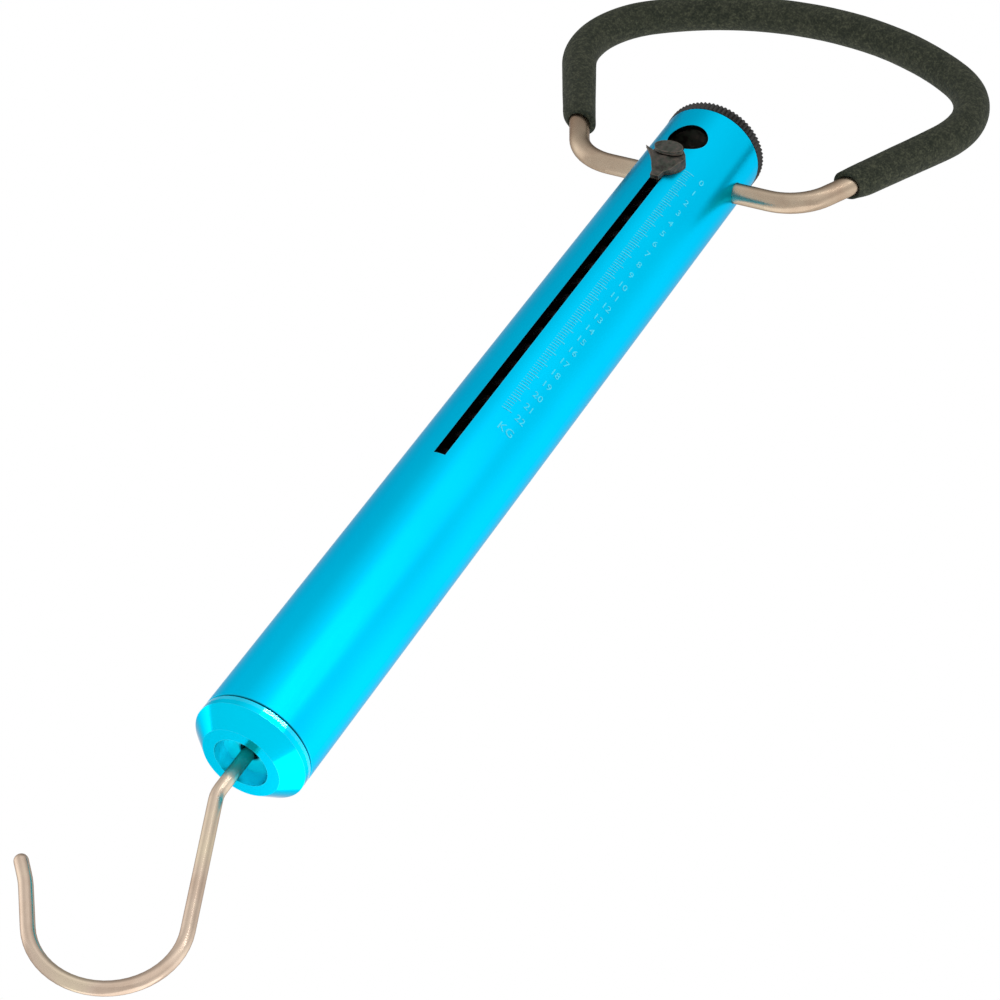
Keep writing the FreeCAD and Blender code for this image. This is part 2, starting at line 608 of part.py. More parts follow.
def make_grip():
    """Foam tube over the bail, from arm to arm."""
    crown, arm, foot_x, shoulder_v = bail_sizes()
    g = math.radians(BAIL_ARM_ANGLE)
    run = ((shoulder_v - GRIP_START) / math.cos(g),)
    corner = (BAIL_CORNER_RADIUS, -(90.0 + BAIL_ARM_ANGLE - math.degrees(crown)))
    top = (BAIL_CROWN_RADIUS, -2.0 * math.degrees(crown))
    start_x = -(BAIL_FOOT_X + GRIP_START * math.tan(g))
    moves = [run, corner, top, corner, run]
    path, end = bend((start_x, GRIP_START), 90.0 + BAIL_ARM_ANGLE, moves, place_bail)
    foam = sweep(path, GRIP_DIA)
    return foam.cut(sweep(path, BAIL_DIA + 2 * SNUG))


def make_retainers():
    """Push-on ring on each leg of the bail, just inside the barrel's wall."""
    half = RETAINER_OD / 2.0
    outer_x = math.sqrt(INNER_R * INNER_R - half * half) - RETAINER_GAP
    rings = []
    for side in (-1, 1):
        foot = Vec(side * (outer_x - RETAINER_THICKNESS), 0, PIVOT_Z)
        away = Vec(side, 0, 0)
        disc = Part.makeCylinder(half, RETAINER_THICKNESS, foot, away)
        hole = Part.makeCylinder(BAIL_DIA / 2.0 + SNUG, RETAINER_THICKNESS + 2.0, foot - away, away)
        rings.append(disc.cut(hole))
    return Part.makeCompound(rings)


HERE = Vec(0, 0, 0)
save(make_bail(), "handle_bail", HERE)
save(make_grip(), "foam_grip", HERE)
save(make_retainers(), "bail_retainers")
save(make_barrel(), "barrel_tube")
save(make_bottom_cap(), "bottom_cap")
save(make_rod_bush(), "rod_bush")
save(make_lower_seat(), "lower_spring_seat")
save(make_top_plug(), "top_plug")
save(make_friction_ring(), "friction_ring")
save(make_knob(), "zero_knob")
save(make_knob_screw(), "knob_screw")
save(make_adjuster_screw(), "adjuster_screw")
save(make_stop_pad(), "stop_pad")
save(make_piston(), "piston")
save(make_upper_seat(), "upper_spring_seat")
save(make_spring(), "compression_spring")
save(make_hook_rod(), "hook_rod")
save(make_thrust_washer(), "thrust_washer")
save(make_rod_nut(), "rod_nut")
save(make_marker_saddle(), "marker_saddle")
save(make_marker_pad(), "marker_pad")
save(make_marker_screw(), "marker_screw")
save(make_marker_plate(), "marker_plate")
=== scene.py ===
"""Looks of the tubular fish scale: anodised barrel, printed scale, foam grip, wires and plastics.

Lengths are metres in the row frame: the origin is the centre of the grip, +Z is up along the
barrel, and the slot and the scale face -Y. Colours are linear red, green and blue.
"""
import json
import math

import bpy
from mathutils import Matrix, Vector, noise


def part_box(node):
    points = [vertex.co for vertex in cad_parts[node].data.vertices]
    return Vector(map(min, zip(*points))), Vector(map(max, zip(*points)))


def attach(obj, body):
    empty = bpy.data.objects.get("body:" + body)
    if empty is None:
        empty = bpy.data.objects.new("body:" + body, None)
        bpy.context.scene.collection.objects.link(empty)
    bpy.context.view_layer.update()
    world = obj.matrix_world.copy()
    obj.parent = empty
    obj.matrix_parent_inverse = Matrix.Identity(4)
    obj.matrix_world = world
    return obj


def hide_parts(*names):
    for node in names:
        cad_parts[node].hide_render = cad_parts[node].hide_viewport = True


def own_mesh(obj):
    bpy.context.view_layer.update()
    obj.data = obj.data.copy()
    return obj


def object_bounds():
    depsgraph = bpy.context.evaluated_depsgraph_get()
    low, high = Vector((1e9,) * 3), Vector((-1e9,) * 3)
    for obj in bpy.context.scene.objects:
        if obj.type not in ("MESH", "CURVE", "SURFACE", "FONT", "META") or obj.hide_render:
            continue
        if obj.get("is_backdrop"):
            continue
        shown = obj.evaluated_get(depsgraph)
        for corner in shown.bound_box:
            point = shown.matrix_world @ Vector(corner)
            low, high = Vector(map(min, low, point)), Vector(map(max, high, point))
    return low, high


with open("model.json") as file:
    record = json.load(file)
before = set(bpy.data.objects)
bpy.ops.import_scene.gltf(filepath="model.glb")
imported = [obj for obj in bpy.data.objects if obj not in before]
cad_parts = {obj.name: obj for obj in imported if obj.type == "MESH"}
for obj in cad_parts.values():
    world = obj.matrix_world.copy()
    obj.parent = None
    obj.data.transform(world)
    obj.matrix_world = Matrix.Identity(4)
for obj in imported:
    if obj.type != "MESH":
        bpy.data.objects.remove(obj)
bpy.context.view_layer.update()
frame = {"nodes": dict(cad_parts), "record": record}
nodes = frame["nodes"]
record = frame["record"]

MM = 0.001

# ---- places taken from the CAD ----
tube_low, tube_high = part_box("barrel_tube")
AXIS_Y = (tube_low.y + tube_high.y) / 2
TUBE_R = (tube_high.x - tube_low.x) / 2
TUBE_Z = tube_low.z
NOSE_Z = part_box("bottom_cap")[0].z
marker_low, marker_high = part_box("marker_plate")
ZERO_Z = (marker_low.z + marker_high.z) / 2
# the cap's recess and the rod's hole in it
RECESS_R = 7.3 * MM
HOLE_R = 2.35 * MM
# middle of the band of clear coat round the cap's rim
BAND_Z = TUBE_Z - 1.0 * MM


# ---- mesh helpers ----
def new_object(name, verts, faces, material, smooth=True):
    """A mesh object in the scene, in the row frame."""
    mesh = bpy.data.meshes.new(name)
    mesh.from_pydata([tuple(v) for v in verts], [], faces)
    mesh.update()
    obj = bpy.data.objects.new(name, mesh)
    bpy.context.scene.collection.objects.link(obj)
    mesh.materials.append(material)
    mesh.polygons.foreach_set("use_smooth", [smooth] * len(mesh.polygons))
    return obj


def on_barrel(arc, z, lift):
    """Point on the barrel: arc length from the slot's middle, height, and lift off the surface."""
    phi = arc / TUBE_R
    r = TUBE_R + lift
    return Vector((r * math.sin(phi), AXIS_Y - r * math.cos(phi), z))


# ---- shader helpers ----
def material(name):
    """A new material with one Principled shader."""
    mat = bpy.data.materials.new(name)
    mat.use_nodes = True
    tree = mat.node_tree
    tree.nodes.clear()
    out = tree.nodes.new("ShaderNodeOutputMaterial")
    bsdf = tree.nodes.new("ShaderNodeBsdfPrincipled")
    tree.links.new(bsdf.outputs["BSDF"], out.inputs["Surface"])
    return mat, tree, bsdf


def coords(tree, stretch=1.0):
    """Object coordinates, with Z multiplied by stretch: below 1 it draws a texture out along Z."""
    tex = tree.nodes.new("ShaderNodeTexCoord")
    mapping = tree.nodes.new("ShaderNodeMapping")
    mapping.inputs["Scale"].default_value = (1.0, 1.0, stretch)
    tree.links.new(tex.outputs["Object"], mapping.inputs["Vector"])
    return mapping.outputs["Vector"]


def axes(tree, kind):
    """X, Y and Z of the texture coordinates of that kind."""
    tex = tree.nodes.new("ShaderNodeTexCoord")
    split = tree.nodes.new("ShaderNodeSeparateXYZ")
    tree.links.new(tex.outputs[kind], split.inputs["Vector"])
    return split.outputs["X"], split.outputs["Y"], split.outputs["Z"]


def noise_tex(tree, vector, scale, detail=3.0, rough=0.5):
    """Noise around 0.5, with scale features to the metre."""
    node = tree.nodes.new("ShaderNodeTexNoise")
    node.inputs["Scale"].default_value = scale
    node.inputs["Detail"].default_value = detail
    node.inputs["Roughness"].default_value = rough
    tree.links.new(vector, node.inputs["Vector"])
    return node.outputs["Fac"]


def ramp(tree, fac, stops):
    """Colour at fac, from (place, colour) stops."""
    node = tree.nodes.new("ShaderNodeValToRGB")
    elements = node.color_ramp.elements
    while len(elements) < len(stops):
        elements.new(0.5)
    for element, (place, colour) in zip(elements, stops):
        element.position = place
        element.color = (*colour, 1.0)
    tree.links.new(fac, node.inputs["Fac"])
    return node.outputs["Color"]


def remap(tree, fac, low, high):
    """low where fac is 0, high where it is 1."""
    node = tree.nodes.new("ShaderNodeMapRange")
    node.inputs["To Min"].default_value = low
    node.inputs["To Max"].default_value = high
    tree.links.new(fac, node.inputs["Value"])
    return node.outputs["Result"]


def span(tree, value, start, end):
    """0 where value is at start, 1 where it is at end."""
    node = tree.nodes.new("ShaderNodeMapRange")
    node.inputs["From Min"].default_value = start
    node.inputs["From Max"].default_value = end
    tree.links.new(value, node.inputs["Value"])
    return node.outputs["Result"]


def mix(tree, fac, a, b):
    """Colour a where fac is 0, b where it is 1."""
    node = tree.nodes.new("ShaderNodeMix")
    node.data_type = "RGBA"
    tree.links.new(fac, node.inputs[0])
    for socket, value in ((node.inputs[6], a), (node.inputs[7], b)):
        if isinstance(value, tuple):
            socket.default_value = (*value, 1.0)
        else:
            tree.links.new(value, socket)
    return node.outputs[2]


def grey(tree, colour):
    """Brightness of a colour."""
    node = tree.nodes.new("ShaderNodeRGBToBW")
    tree.links.new(colour, node.inputs["Color"])
    return node.outputs["Val"]


def math_node(tree, operation, a, b=0.0):
    """Result of one sum; a and b are numbers or sockets."""
    node = tree.nodes.new("ShaderNodeMath")
    node.operation = operation
    for socket, value in ((node.inputs[0], a), (node.inputs[1], b)):
        if isinstance(value, float):
            socket.default_value = value
        else:
            tree.links.new(value, socket)
    return node.outputs["Value"]


def distance_from(tree, value, place):
    """How far value is from place, on either side."""
    return math_node(tree, "ABSOLUTE", math_node(tree, "SUBTRACT", value, place))


def bump(tree, height, strength, distance, under=None):
    """Normal bent by height, on top of the normal under."""
    node = tree.nodes.new("ShaderNodeBump")
    node.inputs["Strength"].default_value = strength
    node.inputs["Distance"].default_value = distance
    tree.links.new(height, node.inputs["Height"])
    if under is not None:
        tree.links.new(under, node.inputs["Normal"])
    return node.outputs["Normal"]


def edge_mask(tree, radius, low, high):
    """1 along sharp edges, 0 on flat faces."""
    bevel = tree.nodes.new("ShaderNodeBevel")
    bevel.samples = 4
    bevel.inputs["Radius"].default_value = radius
    geometry = tree.nodes.new("ShaderNodeNewGeometry")
    dot = tree.nodes.new("ShaderNodeVectorMath")
    dot.operation = "DOT_PRODUCT"
    tree.links.new(bevel.outputs["Normal"], dot.inputs[0])
    tree.links.new(geometry.outputs["Normal"], dot.inputs[1])
    return span(tree, dot.outputs["Value"], high, low)


def crevice_mask(tree, reach):
    """0 in corners and under ledges, 1 in the open, for painted shade."""
    node = tree.nodes.new("ShaderNodeAmbientOcclusion")
    node.samples = 8
    node.inputs["Distance"].default_value = reach
    return span(tree, node.outputs["AO"], 0.30, 0.85)


def barrel_place(tree):
    """Distance from the barrel's axis, and height."""
    x, y, z = axes(tree, "Object")
    depth = math_node(tree, "SUBTRACT", y, AXIS_Y)
    across_squared = math_node(tree, "MULTIPLY", x, x)
    depth_squared = math_node(tree, "MULTIPLY", depth, depth)
    radius = math_node(tree, "SQRT", math_node(tree, "ADD", across_squared, depth_squared))
    return radius, z


# ---- materials ----
BARREL_DYES = [(0.0, 0.555, 0.88), (0.0, 0.595, 0.91)]
CAP_DYES = [(0.0, 0.610, 0.89), (0.0, 0.650, 0.92)]
RUBBED_DYE = (0.25, 0.75, 0.92)
# grime and painted shade for the joint between barrel and cap
SEAM_GRIME_AND_SHADE = (0.0, 0.33, 0.50)
# painted shade for the barrel's bore and the slot's walls
BORE_SHADE = (0.003, 0.020, 0.027)
RECESS_DYE = (0.0, 0.82, 0.98)
# painted shade round the rod's hole in the cap's recess
HOLE_SHADE = (0.0, 0.06, 0.08)

HOOK_TINTS = [(0.28, (0.48, 0.36, 0.275)), (0.50, (0.58, 0.46, 0.365)), (0.72, (0.64, 0.54, 0.40))]
BAIL_TINTS = [(0.28, (0.345, 0.250, 0.180)), (0.50, (0.435, 0.345, 0.255)), (0.72, (0.475, 0.405, 0.300))]
# painted shade for the rod where it leaves the cap's hole
ROD_ROOT_SHADE = (0.05, 0.06, 0.055)

MARKER_MOTTLE = [(0.36, (0.020, 0.015, 0.013)), (0.46, (0.037, 0.045, 0.033)),
                 (0.56, (0.053, 0.046, 0.040)), (0.68, (0.092, 0.078, 0.062))]
# painted highlight along the marker's edges
MARKER_EDGE_HIGHLIGHT = (0.22, 0.16, 0.12)
# painted shade for the marker's corners
MARKER_CREVICE_SHADE = (0.003, 0.003, 0.003)

FOAM_SHADES = [(0.25, (0.0142, 0.0180, 0.0112)), (0.75, (0.0320, 0.0350, 0.0235))]
FOAM_FLECK = (0.073, 0.078, 0.048)
FOAM_BLOTCH = (0.006, 0.010, 0.006)

INK_SHADES = [(0.25, (0.0, 0.57, 0.80)), (0.70, (0.06, 0.69, 0.86))]


def black_bore(tree, bsdf, colour, radius, height):
    """The barrel's bore and the slot's walls are painted near black as shade."""
    outside = span(tree, radius, TUBE_R - 0.35 * MM, TUBE_R - 0.12 * MM)
    return mix(tree, outside, BORE_SHADE, colour)


def cap_recess(tree, bsdf, colour, radius, height):
    """The recess is turned matt and painted dark round the rod's hole as shade, and a band of the rim has a
    clear coat.
    """
    outside = span(tree, radius, RECESS_R - 0.02 * MM, RECESS_R + 0.05 * MM)
    colour = mix(tree, outside, RECESS_DYE, colour)
    tree.links.new(remap(tree, outside, 0.30, 1.0), bsdf.inputs["Metallic"])
    # painted shade round the rod's hole
    past_hole_shade = span(tree, radius, HOLE_R + 0.1 * MM, HOLE_R + 0.9 * MM)
    colour = mix(tree, past_hole_shade, HOLE_SHADE, colour)
    past_band = span(tree, distance_from(tree, height, BAND_Z), 0.40 * MM, 0.60 * MM)
    tree.links.new(remap(tree, past_band, 0.48, 0.0), bsdf.inputs["Coat Weight"])
    bsdf.inputs["Coat Roughness"].default_value = 0.03
    return colour


def anodised(name, dyes, low, high, details):
    """Dyed anodising of roughness low to high, with what details adds to it."""
    mat, tree, bsdf = material(name)
    plain = coords(tree)
    streak = noise_tex(tree, coords(tree, stretch=0.02), 2600.0, detail=2.0)
    cloud = noise_tex(tree, plain, 22.0)
    grain = noise_tex(tree, plain, 5200.0, detail=2.0)
    dye = ramp(tree, cloud, [(0.3, dyes[0]), (0.7, dyes[1])])
    edge_wear_and_highlight = edge_mask(tree, radius=0.18 * MM, low=0.80, high=0.97)
    colour = mix(tree, remap(tree, edge_wear_and_highlight, 0.0, 0.30), dye, RUBBED_DYE)
    radius, height = barrel_place(tree)
    # grime and painted shade in the joint between barrel and cap
    past_seam = span(tree, distance_from(tree, height, TUBE_Z), 0.08 * MM, 0.32 * MM)
    colour = mix(tree, past_seam, SEAM_GRIME_AND_SHADE, colour)
    bsdf.inputs["Metallic"].default_value = 1.0
    colour = details(tree, bsdf, colour, radius, height)
    tree.links.new(colour, bsdf.inputs["Base Color"])
    bsdf.inputs["Specular Tint"].default_value = (0.45, 0.45, 0.50, 1.0)
    tree.links.new(remap(tree, streak, low, high), bsdf.inputs["Roughness"])
    streaks = bump(tree, streak, strength=0.03, distance=0.02 * MM)
    normal = bump(tree, grain, strength=0.05, distance=0.01 * MM, under=streaks)
    tree.links.new(normal, bsdf.inputs["Normal"])
    return mat


def drawn_wire(name, tints, low, high, shaded_root=False):
    """Heat-tinted stainless wire of roughness low to high, with fine drawing marks along it."""
    mat, tree, bsdf = material(name)
    stain = noise_tex(tree, coords(tree), 60.0, detail=4.0, rough=0.6)
    fine = noise_tex(tree, coords(tree, stretch=0.15), 3800.0, detail=2.0)
    colour = ramp(tree, stain, tints)
    if shaded_root:
        # painted shade on the rod where it comes out of the cap's hole
        height = axes(tree, "Object")[2]
        above = span(tree, height, NOSE_Z + 0.5 * MM, NOSE_Z + 3.5 * MM)
        below = span(tree, height, NOSE_Z + 14.0 * MM, NOSE_Z + 8.0 * MM)
        root_shade = math_node(tree, "MULTIPLY", above, below)
        colour = mix(tree, remap(tree, root_shade, 0.0, 0.85), colour, ROD_ROOT_SHADE)
    tree.links.new(colour, bsdf.inputs["Base Color"])
    bsdf.inputs["Metallic"].default_value = 1.0
    bsdf.inputs["Specular Tint"].default_value = (0.36, 0.34, 0.34, 1.0)
    tree.links.new(remap(tree, fine, low, high), bsdf.inputs["Roughness"])
    tree.links.new(bump(tree, fine, strength=0.015, distance=0.02 * MM), bsdf.inputs["Normal"])
    return mat


def plain_metal(name, colour, low, high):
    """Bare metal of roughness low to high."""
    mat, tree, bsdf = material(name)
    fine = noise_tex(tree, coords(tree), 2400.0)
    dark = tuple(c * 0.75 for c in colour)
    tree.links.new(ramp(tree, fine, [(0.3, dark), (0.7, colour)]), bsdf.inputs["Base Color"])
    bsdf.inputs["Metallic"].default_value = 1.0
    tree.links.new(remap(tree, fine, low, high), bsdf.inputs["Roughness"])
    tree.links.new(bump(tree, fine, strength=0.08, distance=0.03 * MM), bsdf.inputs["Normal"])
    return mat


def moulded_plastic(name, colour, low, high):
    """Grained plastic of roughness low to high, rubbed paler on its edges."""
    mat, tree, bsdf = material(name)
    plain = coords(tree)
    grain = noise_tex(tree, plain, 3200.0)
    cloud = noise_tex(tree, plain, 240.0, detail=2.0)
    dark = tuple(c * 0.8 for c in colour)
    light = tuple(c * 1.15 for c in colour)
    rubbed = tuple(c * 2.0 + 0.01 for c in colour)
    shade = ramp(tree, cloud, [(0.3, dark), (0.7, light)])
    edge_wear_and_highlight = edge_mask(tree, radius=0.25 * MM, low=0.75, high=0.96)
    tree.links.new(mix(tree, remap(tree, edge_wear_and_highlight, 0.0, 0.35), shade, rubbed), bsdf.inputs["Base Color"])
    tree.links.new(remap(tree, cloud, low, high), bsdf.inputs["Roughness"])
    tree.links.new(bump(tree, grain, strength=0.25, distance=0.03 * MM), bsdf.inputs["Normal"])
    return mat


def marker_plastic():
    """Brown-grey plastic, mottled green and brown, painted paler on its edges as a highlight and painted
    dark in its corners as shade.
    """
    mat, tree, bsdf = material("dark_plastic")
    plain = coords(tree)
    grain = noise_tex(tree, plain, 3200.0)
    mottle = noise_tex(tree, plain, 520.0, rough=0.6)
    shade = ramp(tree, mottle, MARKER_MOTTLE)
    # painted highlight: paler along the edges
    edge_wear_and_highlight = edge_mask(tree, radius=0.40 * MM, low=0.75, high=0.97)
    shade = mix(tree, remap(tree, edge_wear_and_highlight, 0.0, 0.70), shade, MARKER_EDGE_HIGHLIGHT)
    # painted shade in corners and under ledges
    shade = mix(tree, crevice_mask(tree, reach=1.6 * MM), MARKER_CREVICE_SHADE, shade)
    tree.links.new(shade, bsdf.inputs["Base Color"])
    bsdf.inputs["Specular IOR Level"].default_value = 0.22
    tree.links.new(remap(tree, mottle, 0.40, 0.60), bsdf.inputs["Roughness"])
    tree.links.new(bump(tree, grain, strength=0.30, distance=0.04 * MM), bsdf.inputs["Normal"])
    return mat


def foam():
    """Closed-cell foam: charcoal with pale flecks, dark blotches and fine pores."""
    mat, tree, bsdf = material("foam")
    plain = coords(tree)
    cells = tree.nodes.new("ShaderNodeTexVoronoi")
    cells.inputs["Scale"].default_value = 2100.0
    tree.links.new(plain, cells.inputs["Vector"])
    speck = noise_tex(tree, plain, 1500.0, rough=0.7)
    cloud = noise_tex(tree, plain, 130.0)
    blotch = noise_tex(tree, plain, 640.0, detail=2.0, rough=0.6)
    colour = ramp(tree, cloud, FOAM_SHADES)
    fleck = grey(tree, ramp(tree, speck, [(0.43, (0.0, 0.0, 0.0)), (0.64, (1.0, 1.0, 1.0))]))
    colour = mix(tree, remap(tree, fleck, 0.0, 0.80), colour, FOAM_FLECK)
    dark = span(tree, blotch, 0.62, 0.40)
    colour = mix(tree, remap(tree, dark, 0.0, 0.55), colour, FOAM_BLOTCH)
    tree.links.new(colour, bsdf.inputs["Base Color"])
    bsdf.inputs["Roughness"].default_value = 0.93
    bsdf.inputs["Specular IOR Level"].default_value = 0.25
    pores = bump(tree, cells.outputs["Distance"], strength=0.35, distance=0.22 * MM)
    normal = bump(tree, speck, strength=0.35, distance=0.18 * MM, under=pores)
    tree.links.new(normal, bsdf.inputs["Normal"])
    return mat


def print_ink():
    """The pale marks and numbers, worn in patches."""
    mat, tree, bsdf = material("engraved_mark")
    patch = noise_tex(tree, coords(tree), 1600.0)
    tree.links.new(ramp(tree, patch, INK_SHADES), bsdf.inputs["Base Color"])
    bsdf.inputs["Roughness"].default_value = 0.55
    return mat


# material of each of the record's slots
MATERIALS = {
    "anodised_blue": anodised("anodised_barrel", BARREL_DYES, low=0.26, high=0.36, details=black_bore),
    "stainless_wire": drawn_wire("hook_wire", HOOK_TINTS, low=0.16, high=0.28, shaded_root=True),
    "steel": plain_metal("steel", (0.55, 0.54, 0.52), low=0.28, high=0.45),
    "spring_steel": plain_metal("spring_steel", (0.10, 0.10, 0.11), low=0.35, high=0.5),
    "dark_plastic": marker_plastic(),
    "black_knob": moulded_plastic("black_knob", (0.008, 0.0068, 0.0055), low=0.38, high=0.54),
    "nylon": moulded_plastic("nylon", (0.030, 0.034, 0.036), low=0.40, high=0.55),
    "foam": foam(),
    "seal_rubber": moulded_plastic("seal_rubber", (0.018, 0.018, 0.018), low=0.55, high=0.7),
}
MARK = print_ink()

slot_of = {part["node"]: part["material_slot"] for part in record["subparts"]}
for name, obj in nodes.items():
    obj.data.materials.clear()
    obj.data.materials.append(MATERIALS[slot_of[name]])
cap_finish = anodised("anodised_cap", CAP_DYES, low=0.12, high=0.18, details=cap_recess)
nodes["bottom_cap"].data.materials[0] = cap_finish
nodes["handle_bail"].data.materials[0] = drawn_wire("bail_wire", BAIL_TINTS, low=0.20, high=0.34)

# ---- the scale beside the slot ----
KG_UNITS = 22
KG_STEP = 5.0 * MM
MARKS_PER_KG = 5
# arc lengths run round the barrel from the slot's middle; the bars and the text lie to its right
BAR_ARC = 5.6 * MM
BAR_LIFT = 0.025 * MM
BAR_PIECE = 0.5 * MM
FINE_BAR = {"length": 2.3 * MM, "width": 0.20 * MM}
WHOLE_BAR = {"length": 3.1 * MM, "width": 0.28 * MM}
NUMBER_ARC = 11.6 * MM
NUMBER_HEIGHT = 2.2 * MM
UNIT_ARC = 10.2 * MM
UNIT_HEIGHT = 2.6 * MM
UNIT_DROP = 5.6 * MM
TEXT_LIFT = 0.03 * MM
# font size over the height of its capitals
FONT_RATIO = 1.38


def add_bar(verts, faces, z, bar):
    """Thin bar around the barrel at height z."""
    steps = int(bar["length"] / BAR_PIECE) + 1
    base = len(verts)
    for i in range(steps + 1):
        arc = BAR_ARC + bar["length"] * i / steps
        verts.append(on_barrel(arc, z - bar["width"] / 2, BAR_LIFT))
        verts.append(on_barrel(arc, z + bar["width"] / 2, BAR_LIFT))
    for i in range(steps):
        a = base + 2 * i
        faces.append((a, a + 2, a + 3, a + 1))


def add_text(verts, faces, text, height, arc, z):
    """Lettering wrapped on the barrel, its middle at the given arc length and height."""
    curve = bpy.data.curves.new("label", "FONT")
    curve.body = text
    curve.size = height * FONT_RATIO
    curve.align_x = "CENTER"
    curve.align_y = "CENTER"
    curve.space_character = 1.05
    curve.resolution_u = 3
    temp = bpy.data.objects.new("label", curve)
    bpy.context.scene.collection.objects.link(temp)
    bpy.context.view_layer.update()
    mesh = bpy.data.meshes.new_from_object(temp)
    base = len(verts)
    ys = [v.co.y for v in mesh.vertices]
    mid = (min(ys) + max(ys)) / 2
    for v in mesh.vertices:
        verts.append(on_barrel(arc + v.co.x, z + v.co.y - mid, TEXT_LIFT))
    for p in mesh.polygons:
        faces.append(tuple(base + i for i in p.vertices))
    bpy.data.objects.remove(temp)
    bpy.data.curves.remove(curve)
    bpy.data.meshes.remove(mesh)


verts, faces = [], []
for i in range(KG_UNITS * MARKS_PER_KG + 1):
    bar = WHOLE_BAR if i % MARKS_PER_KG == 0 else FINE_BAR
    add_bar(verts, faces, ZERO_Z - i * KG_STEP / MARKS_PER_KG, bar)
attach(new_object("kilogram_ticks", verts, faces, MARK), "barrel")

verts, faces = [], []
for kg in range(KG_UNITS + 1):
    add_text(verts, faces, str(kg), NUMBER_HEIGHT, NUMBER_ARC, ZERO_Z - kg * KG_STEP)
add_text(verts, faces, "KG", UNIT_HEIGHT, UNIT_ARC, ZERO_Z - KG_UNITS * KG_STEP - UNIT_DROP)
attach(new_object("scale_numbers", verts, faces, MARK), "barrel")

# ---- foam grip ----
# the bail's centreline, as in the CAD: a crown, two corners and two straight arms
LEAN = math.radians(3.3)
CROWN_R = 85.0 * MM
CORNER_R = 27.0 * MM
ARM = math.radians(27.0)
RISE = 97.2 * MM
FOOT_X = 34.8 * MM
FOOT_R = 16.0 * MM
GRIP_START = 15.5 * MM
PATH_STEP = 0.7 * MM
# the foam's radius on the crown and at the ends of its arms, the run from the one to the other, and its bore
GRIP_R = 5.24 * MM
ARM_R = 4.86 * MM
ARM_RUN = 42.0 * MM
BORE_R = 3.06 * MM
SIDES = 56
# both mouths are cut askew, longer on the inner side, and drawn in on the outer side
MOUTH_RUN = 8.0 * MM
LEFT_MOUTH = {"back": 1.25 * MM, "draw": 1.15 * MM, "cut": 1.45 * MM, "lip": 0.70 * MM}
RIGHT_MOUTH = {"back": 0.10 * MM, "draw": 0.90 * MM, "cut": 1.40 * MM, "lip": 0.50 * MM}
# how much the foam swells in a bend, and how uneven its skin is along and around it
SWELL = 0.9 * MM
BEND_PASSES = 60
UNEVEN = 0.055 * MM
COARSE_PER_METRE = 99.0
FINER_PER_METRE = 450.0
COARSE_AROUND = 0.8
FINER_AROUND = 2.0


def smooth(t):
    """Smooth step from 0 to 1."""
    t = min(1.0, max(0.0, t))
    return t * t * (3.0 - 2.0 * t)


def crown_half_angle():
    """Half of the crown's arc, so that crown, corner and arm run into each other."""
    turn = math.pi / 2 + ARM
    foot_x = FOOT_X - FOOT_R * math.tan((math.pi / 2 - ARM) / 2)
    drop = FOOT_R * (1 + math.cos(turn))
    base = RISE - CROWN_R + CORNER_R * math.cos(turn)
    reach = foot_x + FOOT_R * math.sin(turn) - CORNER_R * math.sin(turn) + math.tan(ARM) * (base - drop)
    return ARM + math.asin(reach * math.cos(ARM) / (CROWN_R - CORNER_R))


def shoulder_height(crown):
    """Height above the pivot at which an arm runs into its corner."""
    base = RISE - CROWN_R + CORNER_R * math.cos(math.pi / 2 + ARM)
    return base + (CROWN_R - CORNER_R) * math.cos(crown)


def grip_path():
    """Points of the grip's centreline, from the left end to the right end.

    Each is (x, v, direction, bend): v is the height from the crown, up along the bail's plane, and
    bend is 1 over the radius."""
    x = -(FOOT_X + GRIP_START * math.tan(ARM))
    v = GRIP_START - RISE
    a = math.pi / 2 + ARM
    crown = crown_half_angle()
    corner = math.pi / 2 + ARM - crown
    run = (shoulder_height(crown) - GRIP_START) / math.cos(ARM)
    points = [(x, v, a, 0.0)]

    def straight(length):
        nonlocal x, v
        count = int(length / PATH_STEP)
        for _ in range(count):
            x += length / count * math.cos(a)
            v += length / count * math.sin(a)
            points.append((x, v, a, 0.0))

    def arc(radius, turn):
        nonlocal x, v, a
        count = int(radius * turn / PATH_STEP)
        centre_x = x + radius * math.sin(a)
        centre_v = v - radius * math.cos(a)
        for _ in range(count):
            a -= turn / count
            x = centre_x - radius * math.sin(a)
            v = centre_v + radius * math.cos(a)
            points.append((x, v, a, 1.0 / radius))

    straight(run)
    arc(CORNER_R, corner)
    arc(CROWN_R, 2 * crown)
    arc(CORNER_R, corner)
    straight(run)
    return points


def bail_point(x, v, off):
    """Point of the bail's leaning plane, off to its back by off."""
    y = v * math.sin(LEAN) + off * math.cos(LEAN)
    return Vector((x, y, v * math.cos(LEAN) - off * math.sin(LEAN)))


def lip(mouth, outer):
    """Radius of each ring of a rounded lip, and how far it lies inside the mouth."""
    r = mouth["lip"]
    return [(BORE_R, 0.25 * MM), (BORE_R + 0.35 * MM, 0.02 * MM), (outer - r, 0.0),
            (outer - 0.37 * r, 0.17 * r), (outer - 0.07 * r, 0.60 * r)]


